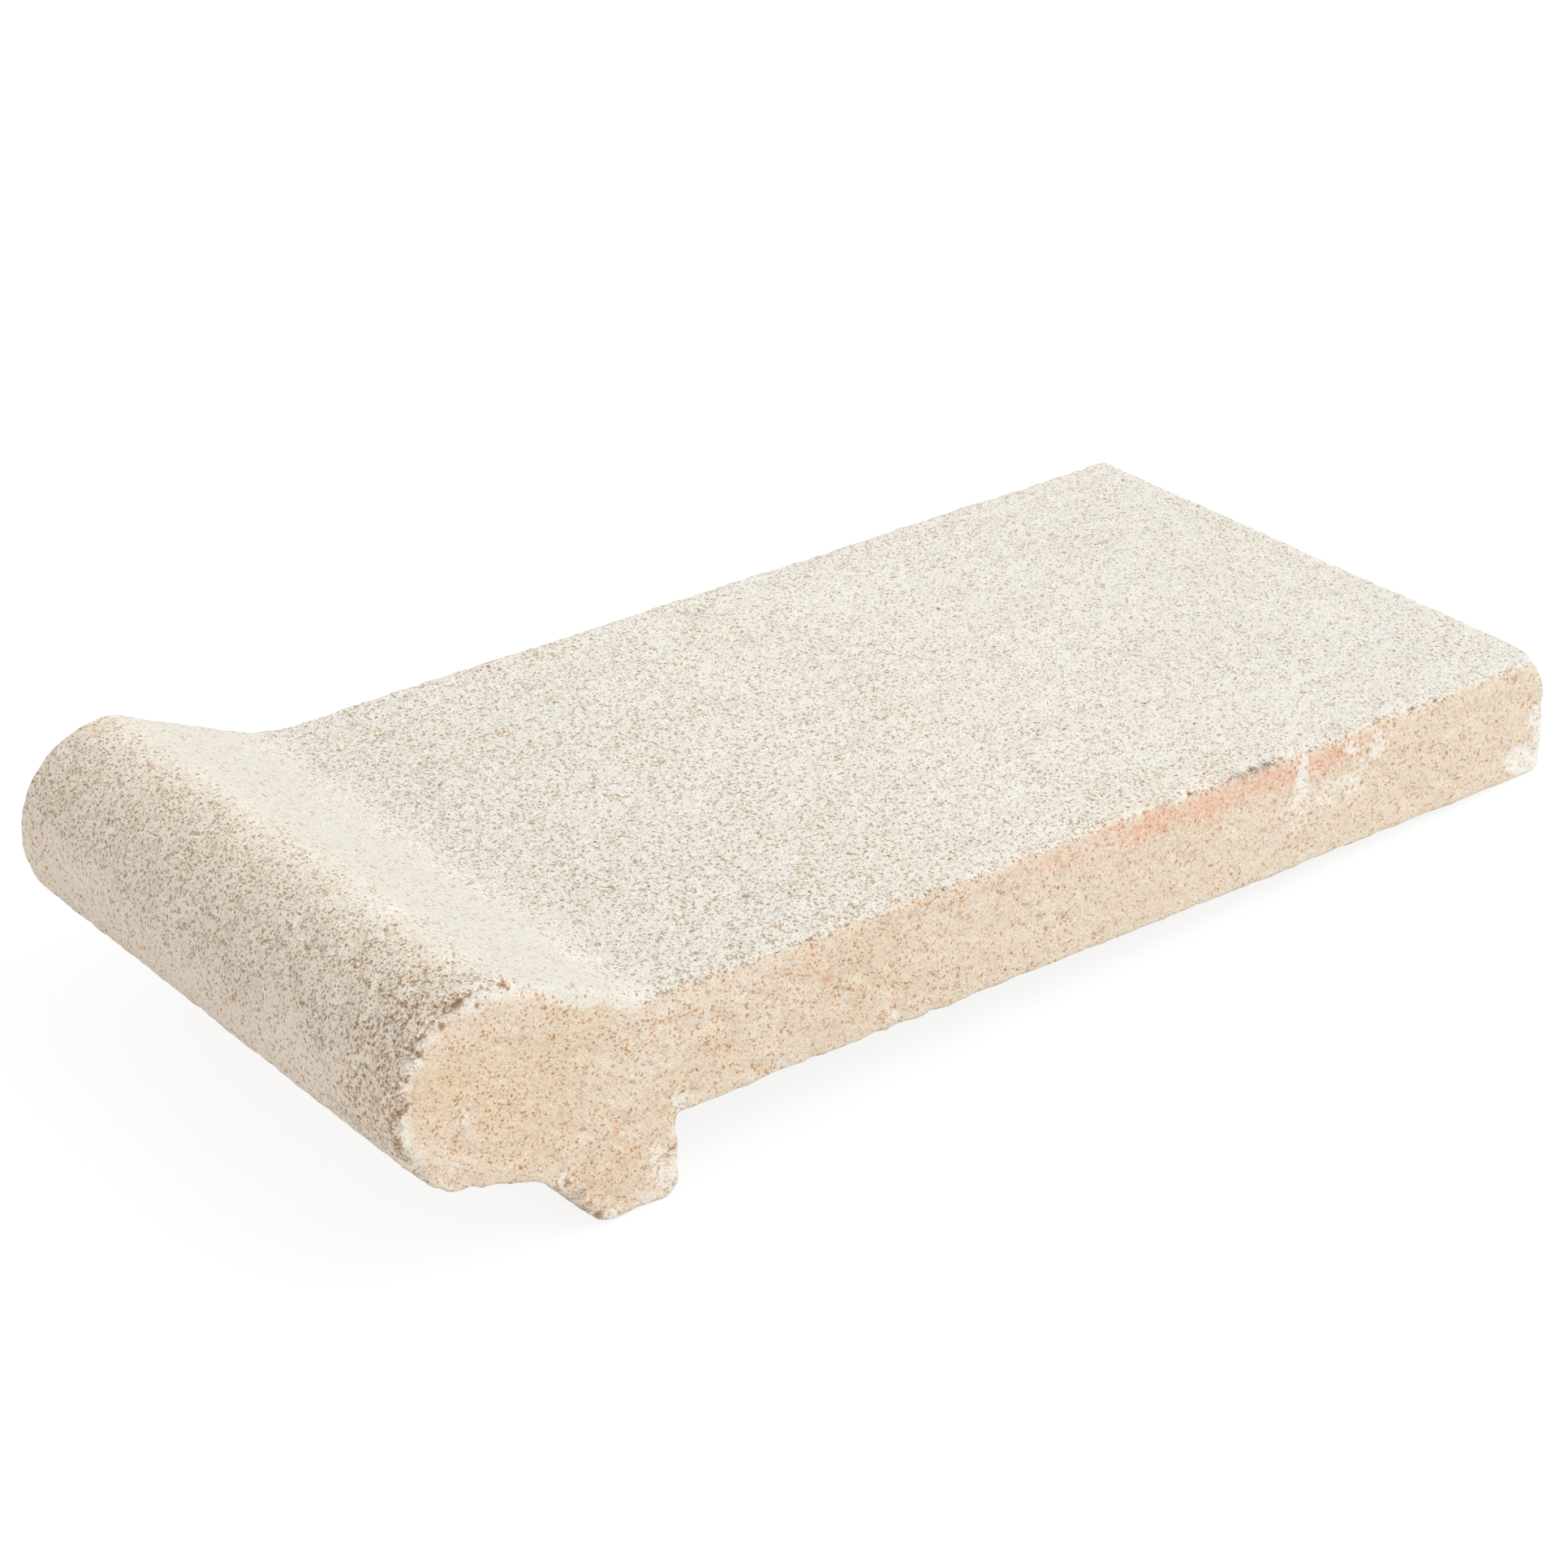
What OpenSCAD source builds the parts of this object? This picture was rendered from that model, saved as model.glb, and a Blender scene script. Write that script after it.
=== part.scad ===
// Pool coping stone: a cast slab with a raised, rounded nose over the water and a lug that hangs
// inside the pool wall. One solid unit, in millimetres.
// +X runs from the nose to the back, +Y along the pool edge, +Z up.
// It lies unheld on a level floor, on the heel of the lug and the bottom edge of the back face,
// so the flat top leans by the rest angle worked out below. Outline points are taken level, with
// x from the front of the nose and the flat top at height 0.

/* [Slab] */
// Depth from the front of the nose to the back face
depth = 300; // [220:1:420]
// Length along the pool edge
length = 153; // [100:1:400]
// Thickness of the flat slab
slab_thickness = 28; // [22:0.1:36]
// Radius of the top edge at the back
back_top_radius = 1.5; // [0.5:0.5:8]
// Radius of the bottom edge at the back
back_bottom_radius = 2.5; // [1:0.5:6]

/* [Nose] */
// Radius of the rounded nose
nose_radius = 22.2; // [18:0.1:30]
// Height of the top of the nose above the flat top
nose_rise = 16.1; // [12:0.1:20]
// Slope from the crown down to the flat top, in degrees
back_slope = 24.7; // [18:0.1:32]
// Depth of the slope below the full curve of the nose
crown_cut = 1.1; // [0.6:0.1:2]
// Radius of the crown between the nose and the slope
crown_radius = 10; // [6:0.5:13]
// Radius of the cove between the slope and the flat top
cove_radius = 42; // [25:1:55]
// Slope of the underside of the nose, in degrees
chin_slope = 12.4; // [6:0.1:16]
// Depth of the underside above the full curve of the nose
chin_cut = 0.4; // [0.3:0.1:2]
// Radius of the chin between the nose and its underside
chin_radius = 12; // [8:0.5:14]

/* [Lug] */
// Distance from the front of the nose to the rear face of the lug
lug_setback = 63.5; // [54:0.1:75]
// Depth of the lug below the slab
lug_drop = 17.8; // [14:0.1:24]
// Width of the bottom of the lug, corner to corner
lug_foot = 18.8; // [13:0.1:23]
// Slope of the front face of the lug, in degrees
lug_front_slope = 49.5; // [42:0.5:60]
// Radius of the hollow between the nose and the lug
throat_radius = 14; // [8:0.5:17]
// Radius of the front corner of the lug
toe_radius = 3; // [1:0.5:5]
// Radius of the rear corner of the lug
heel_radius = 4.5; // [2:0.5:6]
// Radius of the inner corner behind the lug
wall_corner_radius = 1.2; // [0.5:0.1:3]

/* [Hidden] */
$fn = 180;

// Angle in degrees at which rounding arcs meet straight edges, and how far their pieces reach out
blend = 1;
past = 0.5;

// Radius of the drawn arc, whose centre lies at distance r from both edges
function arc(r) = r / cos(blend);
// Direction of a vector
function unit(p) = p / norm(p);
// Where the lines that touch a circle about c, in directions u and v from it, meet
function meet(c, r, u, v) = c + unit(u + v) * r / (unit(u + v) * u);
// A point of the level outline once it is tilted by angle a
function tilted(p, a) = [p.x * cos(a) + p.y * sin(a), p.y * cos(a) - p.x * sin(a)];

nose_centre = [nose_radius, nose_rise - nose_radius];
lug_bottom = -slab_thickness - lug_drop;

// Outward directions of the back slope and of the underside of the nose, and the directions where
// the crown and the chin leave the full curve of the nose
slope_out = [sin(back_slope), cos(back_slope)];
crown_turn = acos(1 - crown_cut / (nose_radius - crown_radius));
crown_out = [sin(back_slope - crown_turn), cos(back_slope - crown_turn)];
chin_out = [-sin(chin_slope), -cos(chin_slope)];
chin_turn = acos(1 - chin_cut / (nose_radius - chin_radius));
front_out = [-sin(chin_slope + chin_turn), -cos(chin_slope + chin_turn)];

// Corners of the nose before rounding, where the lines that touch its arcs meet
nose = meet(nose_centre, nose_radius, front_out, crown_out);
crown = meet(nose_centre + (nose_radius - crown_radius) * crown_out, crown_radius, crown_out, slope_out);
chin = meet(nose_centre + (nose_radius - chin_radius) * front_out, chin_radius, front_out, chin_out);
slope_foot = [(crown * slope_out) / sin(back_slope), 0];

// The cove rounds the corner at the foot of the slope: its two ends and its centre
cove_reach = cove_radius * tan(back_slope / 2);
cove_start = slope_foot + cove_reach * [-cos(back_slope), sin(back_slope)];
cove_end = slope_foot + [cove_reach, 0];
cove_centre = cove_end + [0, cove_radius];

// Corners of the lug and the slab
toe = [lug_setback - lug_foot, lug_bottom];
heel = [lug_setback, lug_bottom];
lug_front = [-cos(lug_front_slope), sin(lug_front_slope)];
throat = toe + lug_front * ((chin - toe) * chin_out) / (lug_front * chin_out);
wall_corner = [lug_setback, -slab_thickness];
back_bottom = [depth, -slab_thickness];
back_top = [depth, 0];

// Rest angle: the line under the heel and the back bottom edge is laid level
heel_centre = heel + [-heel_radius, heel_radius];
edge_centre = back_bottom + [-back_bottom_radius, back_bottom_radius];
span = edge_centre - heel_centre;
rest_angle = atan2(span.y, span.x) + asin((arc(heel_radius) - arc(back_bottom_radius)) / norm(span));

// Middle of the depth and lowest height once tilted
front_x = tilted(nose_centre, rest_angle).x - arc(nose_radius);
rear_x = tilted(back_top - [back_top_radius, back_top_radius], rest_angle).x + arc(back_top_radius);
floor_z = tilted(heel_centre, rest_angle).y - arc(heel_radius);

// The piece between a corner at v, with edges towards p and q, and the arc of radius r that rounds
// it. It reaches past both edges, and the arc meets them at the small angle of blend.
module corner(v, p, q, r) {
    d = unit(p - v);
    e = unit(q - v);
    half = acos(d * e) / 2;
    inward = unit(d + e);
    centre = v + inward * r / sin(half);
    a = v + d * r / tan(half);
    b = v + e * r / tan(half);
    difference() {
        polygon([centre, a + past * unit(a - centre), v - inward, b + past * unit(b - centre)]);
        translate(centre) circle(r = arc(r));
    }
}

// The level outline, seen from the side with the nose at the left
module outline() {
    difference() {
        union() {
            polygon([
                nose,
                crown,
                cove_start,
                cove_end,
                back_top,
                back_bottom,
                wall_corner,
                heel,
                toe,
                throat,
                chin
            ]);
            corner(throat, chin, toe, throat_radius);
            corner(wall_corner, heel, back_bottom, wall_corner_radius);
        }
        translate(cove_centre) circle(r = arc(cove_radius));
        corner(nose, chin, crown, nose_radius);
        corner(crown, nose, slope_foot, crown_radius);
        corner(chin, nose, throat, chin_radius);
        corner(toe, throat, heel, toe_radius);
        corner(heel, toe, wall_corner, heel_radius);
        corner(back_bottom, wall_corner, back_top, back_bottom_radius);
        corner(back_top, back_bottom, slope_foot, back_top_radius);
    }
}

module coping_stone()
    color([0.89, 0.84, 0.76])
    translate([-(front_x + rear_x) / 2, 0, -floor_z])
    rotate([0, rest_angle, 0])
    rotate([90, 0, 0])
    linear_extrude(height = length, center = true)
    outline();

coping_stone();
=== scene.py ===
"""Pool coping stone in Blender: a worn, grained stone in place of the frame's one CAD node, on a
plain pale floor. Lengths are in mm on the level stone, until to_row() lays it down in metres."""
import math

import bpy
import numpy as np
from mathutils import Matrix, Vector
from mathutils.geometry import delaunay_2d_cdt


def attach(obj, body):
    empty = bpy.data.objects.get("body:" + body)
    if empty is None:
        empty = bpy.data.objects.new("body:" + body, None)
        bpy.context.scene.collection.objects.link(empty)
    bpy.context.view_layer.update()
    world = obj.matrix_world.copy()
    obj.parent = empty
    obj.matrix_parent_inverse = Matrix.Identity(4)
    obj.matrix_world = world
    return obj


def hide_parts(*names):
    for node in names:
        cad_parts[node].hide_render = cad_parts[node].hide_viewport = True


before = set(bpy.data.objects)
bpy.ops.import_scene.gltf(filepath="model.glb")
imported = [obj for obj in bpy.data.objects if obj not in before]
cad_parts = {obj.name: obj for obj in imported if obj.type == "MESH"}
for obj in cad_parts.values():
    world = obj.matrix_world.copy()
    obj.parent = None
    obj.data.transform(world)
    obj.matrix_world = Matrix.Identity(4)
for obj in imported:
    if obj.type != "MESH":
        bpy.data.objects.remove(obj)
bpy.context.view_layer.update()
MM = 0.001

# ---------------------------------------------------------------- level outline
# x from the front of the nose, z from the flat top, as in the CAD source
DEPTH, LENGTH, SLAB = 300.0, 153.0, 28.0
NOSE_R, NOSE_RISE, BACK_SLOPE = 22.2, 16.1, 24.7
CROWN_CUT, CROWN_R, COVE_R = 1.1, 10.0, 42.0
CHIN_SLOPE, CHIN_CUT, CHIN_R = 12.4, 0.4, 12.0
LUG_X, LUG_DROP, LUG_FOOT, LUG_SLOPE = 63.5, 17.8, 18.8, 49.5
WALL_R, HEEL_R, TOE_R, THROAT_R = 1.2, 4.5, 3.0, 14.0
LOW_R, BACK_R = 2.5, 1.5  # bottom and top edge at the back
TOO_CLOSE = 0.05  # a point nearer than this to the one before it is left out


def unit(v):
    v = np.asarray(v, float)
    return v / np.linalg.norm(v)


def turned(deg):
    """Unit vector at deg from straight up, towards +x."""
    return np.array([math.sin(math.radians(deg)), math.cos(math.radians(deg))])


def meet(centre, r, u, v):
    """Where the lines that touch a circle in directions u and v from its centre meet."""
    m = unit(u + v)
    return centre + m * r / (m @ u)


nose_c = np.array([NOSE_R, NOSE_RISE - NOSE_R])
crown_turn = math.degrees(math.acos(1 - CROWN_CUT / (NOSE_R - CROWN_R)))
chin_turn = math.degrees(math.acos(1 - CHIN_CUT / (NOSE_R - CHIN_R)))
crown_out, slope_out = turned(BACK_SLOPE - crown_turn), turned(BACK_SLOPE)
chin_out, front_out = turned(180 + CHIN_SLOPE), turned(180 + CHIN_SLOPE + chin_turn)
nose_v = meet(nose_c, NOSE_R, front_out, crown_out)
crown_v = meet(nose_c + (NOSE_R - CROWN_R) * crown_out, CROWN_R, crown_out, slope_out)
chin_v = meet(nose_c + (NOSE_R - CHIN_R) * front_out, CHIN_R, front_out, chin_out)
foot_v = np.array([crown_v @ slope_out / slope_out[0], 0.0])
heel_v = np.array([LUG_X, -SLAB - LUG_DROP])
toe_v = heel_v - [LUG_FOOT, 0]
lug_dir = np.array([-math.cos(math.radians(LUG_SLOPE)), math.sin(math.radians(LUG_SLOPE))])
throat_v = toe_v + lug_dir * ((chin_v - toe_v) @ chin_out) / (lug_dir @ chin_out)

# Corner, its radius, and the spacing of points on its arc and on the straight that follows
CORNERS = [
    ((LUG_X, -SLAB), WALL_R, 0.7, 1.5),
    (heel_v, HEEL_R, 1.1, 1.5),
    (toe_v, TOE_R, 1.0, 1.3),
    (throat_v, THROAT_R, 1.2, 1.2),
    (chin_v, CHIN_R, 1.1, 1.1),
    (nose_v, NOSE_R, 1.08, 1.08),
    (crown_v, CROWN_R, 1.05, 1.1),
    (foot_v, COVE_R, 1.1, 1.12),
    ((DEPTH, 0.0), BACK_R, 1.0, 1.3),
    ((DEPTH, -SLAB), LOW_R, 1.0, 2.3),
]


def outline():
    """Points of the outline and its outward directions, clockwise with the nose at the left."""
    corners = [np.asarray(c[0], float) for c in CORNERS]
    arcs = []
    for i, (_, r, gap, _) in enumerate(CORNERS):
        v, p, q = corners[i], corners[i - 1], corners[(i + 1) % len(corners)]
        d, e = unit(p - v), unit(q - v)
        half = math.acos(d @ e) / 2
        centre = v + unit(d + e) * r / math.sin(half)
        a0, a1 = v + d * r / math.tan(half) - centre, v + e * r / math.tan(half) - centre
        t0, t1 = math.atan2(a0[1], a0[0]), math.atan2(a1[1], a1[0])
        sweep = (t1 - t0 + math.pi) % (2 * math.pi) - math.pi
        n = max(2, int(round(abs(sweep) * r / gap)))
        t = t0 + sweep * np.arange(n + 1) / n
        ring = np.stack([np.cos(t), np.sin(t)], 1)
        arcs.append((centre + r * ring, ring * (1 if sweep < 0 else -1)))
    points, outward = [], []
    for i, (ring, out) in enumerate(arcs):
        points.append(ring)
        outward.append(out)
        a, b = ring[-1], arcs[(i + 1) % len(arcs)][0][0]
        n = int(round(np.linalg.norm(b - a) / CORNERS[i][3]))
        if n > 1:
            t = (np.arange(1, n) / n)[:, None]
            points.append(a + (b - a) * t)
            outward.append(np.repeat(out[-1:], n - 1, 0))
    points, outward = np.concatenate(points), np.concatenate(outward)
    keep = np.linalg.norm(points - np.roll(points, 1, 0), axis=1) > TOO_CLOSE
    return points[keep], outward[keep]


prof, prof_n = outline()

# Rest pose: the heel of the lug and the bottom edge of the back stand on the floor
low_c = np.array([DEPTH - LOW_R, LOW_R - SLAB])
heel_c = heel_v + [-HEEL_R, HEEL_R]
span = low_c - heel_c
TILT = math.atan2(span[1], span[0]) + math.asin((HEEL_R - LOW_R) / np.linalg.norm(span))


def tilted(p):
    """Points (x, z) of the level outline once the stone lies on the floor."""
    x, z = p[..., 0], p[..., 1]
    c, s = math.cos(TILT), math.sin(TILT)
    return np.stack([x * c + z * s, z * c - x * s], -1)


front_x = tilted(nose_c)[0] - NOSE_R
rear_x = tilted(np.array([DEPTH - BACK_R, -BACK_R]))[0] + BACK_R
floor_z = tilted(heel_c)[1] - HEEL_R


def to_row(p):
    """Level mm (x, y, z) to row metres."""
    q = tilted(p[:, [0, 2]])
    return np.stack([q[:, 0] - (front_x + rear_x) / 2, p[:, 1], q[:, 1] - floor_z], 1) * MM


# ---------------------------------------------------------------- mesh of the level stone
HALF = LENGTH / 2
EDGE = 1.2  # rounding of the worn edges round both side faces
EDGE_TURNS = (90, 60, 30)  # degrees round that edge, from the side face
ROW_GAP = 1.14  # between rows of points along the pool edge
FINE_WIDTH, FINE_GAP = 6.0, 0.62  # closer rows beside the near edge, which crumbles most
FIRST_GAP = 0.9  # from the closer rows to the others
NEAR_GAP, FAR_GAP = 0.98, 1.5  # between points on the near and the far side face
ROW_RATIO = 0.866  # height of an even triangle
JITTER, CLEAR = 0.22, 0.62  # of the gap: how far a point wanders, how far it stays off the edge
TINY, CHUNK = 1e-9, 2000


def rings():
    """Vertices, normals and quads of the long surface, from the near side face (-y) to the far
    one, and the number of its rows."""
    n = int(round((LENGTH - 2 * EDGE - FINE_WIDTH) / ROW_GAP))
    fine = np.arange(-HALF + EDGE, -HALF + EDGE + FINE_WIDTH, FINE_GAP)
    ys = list(fine) + list(np.linspace(fine[-1] + FIRST_GAP, HALF - EDGE, n + 1))
    turns = [math.radians(a) for a in EDGE_TURNS]
    first = [(-HALF + EDGE - EDGE * math.sin(a), EDGE * (1 - math.cos(a)), a) for a in turns]
    last = [(-y, inset, a) for y, inset, a in reversed(first)]
    points, normals = [], []
    rows = first + [(y, 0.0, 0.0) for y in ys] + last
    for y, inset, a in rows:
        p = prof - prof_n * inset
        points.append(np.stack([p[:, 0], np.full(len(p), y), p[:, 1]], 1))
        sideways = np.full(len(p), math.copysign(math.sin(a), y))
        normals.append(np.stack([prof_n[:, 0] * math.cos(a), sideways, prof_n[:, 1] * math.cos(a)], 1))
    m = len(prof)
    j, i = np.meshgrid(np.arange(len(rows) - 1), np.arange(m), indexing="ij")
    a, b = j * m + i, j * m + (i + 1) % m
    quads = np.stack([a, b, b + m, a + m], -1).reshape(-1, 4)
    return np.concatenate(points), np.concatenate(normals), quads, len(rows)


def inside(p, poly):
    """Which points lie inside a closed polyline."""
    x, z = p[:, 0:1], p[:, 1:2]
    a, b = poly, np.roll(poly, -1, 0)
    rise = np.where(b[:, 1] == a[:, 1], TINY, b[:, 1] - a[:, 1])
    crossed = x < (b[:, 0] - a[:, 0]) * (z - a[:, 1]) / rise + a[:, 0]
    return (((a[:, 1] > z) != (b[:, 1] > z)) & crossed).sum(1) % 2 == 1


def distance(p, poly):
    """Distance of points to a closed polyline."""
    a, b = poly, np.roll(poly, -1, 0)
    ab = b - a
    best = np.empty(len(p))
    for k in range(0, len(p), CHUNK):
        q = p[k:k + CHUNK, None, :] - a
        t = np.clip((q * ab).sum(-1) / np.maximum((ab * ab).sum(-1), TINY), 0, 1)
        best[k:k + CHUNK] = np.linalg.norm(q - t[..., None] * ab, axis=-1).min(1)
    return best


def cap(loop, gap, seed):
    """Interior points and triangles that fill a side face inside the closed loop."""
    rng = np.random.default_rng(seed)
    lo, hi = loop.min(0), loop.max(0)
    gx, gz = np.meshgrid(np.arange(lo[0], hi[0], gap), np.arange(lo[1], hi[1], gap * ROW_RATIO))
    gx[1::2] += gap / 2
    g = np.stack([gx.ravel(), gz.ravel()], 1) + rng.uniform(-JITTER, JITTER, (gx.size, 2)) * gap
    g = g[inside(g, loop)]
    g = g[distance(g, loop) > gap * CLEAR]
    both = np.concatenate([loop, g])
    m = len(loop)
    edges = [(i, (i + 1) % m) for i in range(m)]
    _, _, found, origin, _, _ = delaunay_2d_cdt([Vector(p) for p in both], edges, [], 1, 1e-6, True)
    back = [o[0] for o in origin]
    tri = np.array([[back[i] for i in f] for f in found])
    return g, tri[inside(both[tri].mean(1), loop)]


def closed_stone():
    """Vertices, normals and faces of the stone, and the number of rows of its long surface."""
    vert, norm, quads, n_rows = rings()
    m = len(prof)
    faces = [tuple(q) for q in quads.tolist()]
    loop = prof - prof_n * EDGE
    for y, gap, seed, rim_start in ((-HALF, NEAR_GAP, 1, 0), (HALF, FAR_GAP, 2, (n_rows - 1) * m)):
        g, tri = cap(loop, gap, seed)
        ids = np.concatenate([rim_start + np.arange(m), len(vert) + np.arange(len(g))])
        vert = np.concatenate([vert, np.stack([g[:, 0], np.full(len(g), y), g[:, 1]], 1)])
        norm = np.concatenate([norm, np.tile([0, math.copysign(1.0, y), 0], (len(g), 1))])
        t = ids[tri]
        a, b, c = vert[t[:, 0]], vert[t[:, 1]], vert[t[:, 2]]
        flip = np.sign(np.cross(b - a, c - a)[:, 1]) != np.sign(y)
        t[flip] = t[flip][:, ::-1]
        faces += [tuple(f) for f in t.tolist()]
    return vert, norm, faces, n_rows


vert, norm, faces, n_rows = closed_stone()
N_LONG = n_rows * len(prof)  # vertices of the long surface; those of the side faces follow
X, Y, Z = vert.T


# ---------------------------------------------------------------- fields over the surface
TABLE = 32
MIXED_AXES = np.array([[0.36, 0.48, -0.8], [-0.8, 0.6, 0.0], [0.48, 0.64, 0.6]])


def noise(cell, seed):
    """Smooth noise from about -1 to 1 at every vertex, with features about one cell (mm) wide."""
    table = np.random.default_rng(seed).uniform(-1, 1, (TABLE, TABLE, TABLE))
    q = vert @ MIXED_AXES / cell + 5.3 * seed
    i = np.floor(q).astype(int)
    f = q - i
    f = f * f * (3 - 2 * f)
    total = np.zeros(len(vert))
    for corner in np.ndindex(2, 2, 2):
        w = [f[:, k] if d else 1 - f[:, k] for k, d in enumerate(corner)]
        at = tuple((i[:, k] + d) % TABLE for k, d in enumerate(corner))
        total += w[0] * w[1] * w[2] * table[at]
    return total * 1.4


def step(lo, hi, v):
    """From 0 at lo to 1 at hi, smoothly."""
    t = np.clip((v - lo) / (hi - lo), 0, 1)
    return t * t * (3 - 2 * t)


def bell(v, width):
    """1 where v is 0, and fading away over the width on both sides."""
    return np.exp(-(v / width) ** 2)


def spots(marks, y=None):
    """Sum of soft spots at marks of (place..., radius, strength). The place is x, z on the side
    face at y, or x, y, z."""
    total = np.zeros(len(vert))
    for mark in marks:
        place = np.array([mark[0], y, mark[1]] if y is not None else mark[:3], float)
        r, strength = mark[-2:]
        close = np.where(np.abs(vert - place).max(1) < 3 * r)[0]
        d = np.linalg.norm(vert[close] - place, axis=1) * (1 + 0.25 * ragged[close])
        total[close] += strength * bell(d, r)
    return total


def beyond_side_edge():
    """How far each vertex lies past the side edge: above 0 on a side face, below 0 on the long
    surface."""
    past = np.empty(len(vert))
    past[:N_LONG] = np.abs(Y[:N_LONG]) - HALF
    on_edge = np.abs(Y[:N_LONG]) > HALF - EDGE + 1e-6
    inset = np.abs(vert[:N_LONG, [0, 2]] - np.tile(prof, (n_rows, 1)))
    past[:N_LONG][on_edge] += np.linalg.norm(inset, axis=1)[on_edge]
    past[N_LONG:] = distance(vert[N_LONG:, [0, 2]], prof)
    return past


past_edge = beyond_side_edge()
near = Y < 0
above = Z > -0.25 * SLAB  # the top, the nose and the highest part of the side faces
out_z = np.zeros(len(vert))
out_z[:N_LONG] = np.tile(prof_n[:, 1], n_rows)
ragged, coarse = noise(2.6, 11), noise(7.0, 12)

# ---------------------------------------------------------------- zones
# Level x or z between which a zone begins or ends
COVE_FROM, COVE_TO = (15, 29), (48, 68)
ROLL_END, ROLL_FOOT = (11, 34), (-24, -14)
NOSE_BACK, NOSE_FOOT = (24, 32), (-19, -12)
FIELD_FROM, COARSE_TO, FAR_END = (50, 62), (60, 230), (90, 280)
PINK_FROM, PINK_TO, PINK_Z = (120, 190), (240, 264), -4

on_long = 1 - step(-1.5, 1.0, past_edge)
# The round of the nose, on the long surface or beside it
nose_arc = (1 - step(*NOSE_BACK, X)) * step(*NOSE_FOOT, Z)

# The pale skin of the long surface wraps over the side edges by a width that varies round the section
skin = -0.2 - 0.5 * step(0, 4, -Z - 0.55 * SLAB) * (X > 20)
skin += (1 - step(22, 34, X)) * 2.0 * step(-22, -6, Z)
skin += step(26, 32, X) * (1 - step(56, 66, X)) * step(-6, 0, Z) * 2.2
skin = skin * (1 + 0.5 * coarse) + 0.8 * ragged + 0.5 * noise(1.3, 13)
side = step(-0.6, 1.2, past_edge - skin)
pale = 1 - side

# The smooth cove, the speckled roll of the nose and its lower front, and the field of the top
cove = step(*COVE_FROM, X + 4 * noise(9, 21) + 3 * ragged)
cove *= 1 - step(*COVE_TO, X + 5 * noise(12, 22) + 5 * ragged)
cove *= step(-4, 0, Z) * pale
turn_deg = np.degrees(np.arctan2(Z - nose_c[1], nose_c[0] - X))  # 90 at the nose's top, 0 at its front
roll = (1 - step(*ROLL_END, X + 3 * noise(9, 23))) * step(*ROLL_FOOT, Z) * pale
# The lower front of the nose has fewer pits, and its tone is raised further as painted light bounced
# up from the floor
front_low = roll * (1 - step(-5, 30, turn_deg + 12 * noise(16, 24)))
low = pale * (1 - step(64, 68, X)) * (1 - step(-20, -12, Z)) * (1 - step(-0.2, 0.3, out_z))
roll = np.maximum(roll, low)
front_low = np.maximum(front_low, low * (0.7 + 0.3 * coarse))
field = step(*FIELD_FROM, X) * step(-2, 0, Z) * pale

# ---------------------------------------------------------------- places of the marks
# On the near side face: x, z, radius and strength; elsewhere x, y, z, radius and strength.
# The strength of a hole is its depth in mm.
HOLES_NEAR = [
    (16.6, 14.3, 1.7, 0.9), (26.7, 15.1, 1.5, 0.7), (20.2, 12.4, 1.2, 0.7), (6.9, 6.6, 1.1, 0.8),
    (12.4, 10.7, 1.1, 0.8), (3.9, 2.2, 1.0, 0.7), (3.4, -3.4, 0.9, 0.7), (1.6, -4.4, 0.9, 0.6),
    (51.5, 3.2, 0.9, 0.5), (72.5, -0.2, 1.0, 0.6), (43.8, -43.4, 1.3, 0.5), (34.8, -31.2, 1.0, 0.5),
    (246.8, -6.7, 1.0, 0.6), (254.3, -1.6, 0.9, 0.6), (280.9, -0.9, 0.9, 0.6),
    (291.0, -2.7, 0.9, 0.6), (129.9, -5.4, 0.9, 0.5)]
EDGE_HOLES_X = (89.6, 97.3, 106.8, 191.4, 196.6, 260.0, 266.9)  # in a line along the near top edge
HOLES = [
    (97.7, -53.5, 0, 1.3, 0.7), (106.3, -67.7, 0, 1.2, 0.6), (84.3, -27.5, 0, 1.1, 0.6),
    (124.1, -46.0, 0, 1.1, 0.5), (95.8, -36.5, 0, 1.0, 0.5), (265.2, -44.0, 0, 0.9, 0.4),
    (269.3, -47.5, 0, 0.8, 0.4), (7.8, 35.5, 10.8, 0.9, 0.5), (2.5, 13.0, 4.1, 1.1, 0.6),
    (1.8, 4.0, 2.7, 0.9, 0.5), (6.0, -9.5, 9.1, 0.95, 0.5), (3.8, -20.5, 6.3, 0.95, 0.5),
    (8.2, -33.0, 11.1, 1.0, 0.6), (9.0, -37.5, 11.8, 0.95, 0.6), (8.6, -44.5, 11.5, 0.9, 0.5),
    (9.4, -58.5, 12.1, 0.95, 0.5), (2.3, -61.5, 3.7, 0.9, 0.5), (19.2, -46.5, 15.9, 1.0, 0.5),
    (12.9, -8.0, 14.1, 1.0, 0.5)] + [(x, -75.9, 0, 0.95, 0.8) for x in EDGE_HOLES_X]
CHIPS = [  # x and width, along the bottom edge of the near side face
    (97, 1.8), (112, 2.2), (119, 2.4), (127, 2.0), (139, 1.8), (214, 1.6), (252, 1.6), (168, 1.3),
    (185, 1.2)]
BACK_CHIPS_Y, TOE_CHIPS_Y = (-50, -21, 9, 33, 61), (-66, -30, -2, 27, 58)
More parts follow.
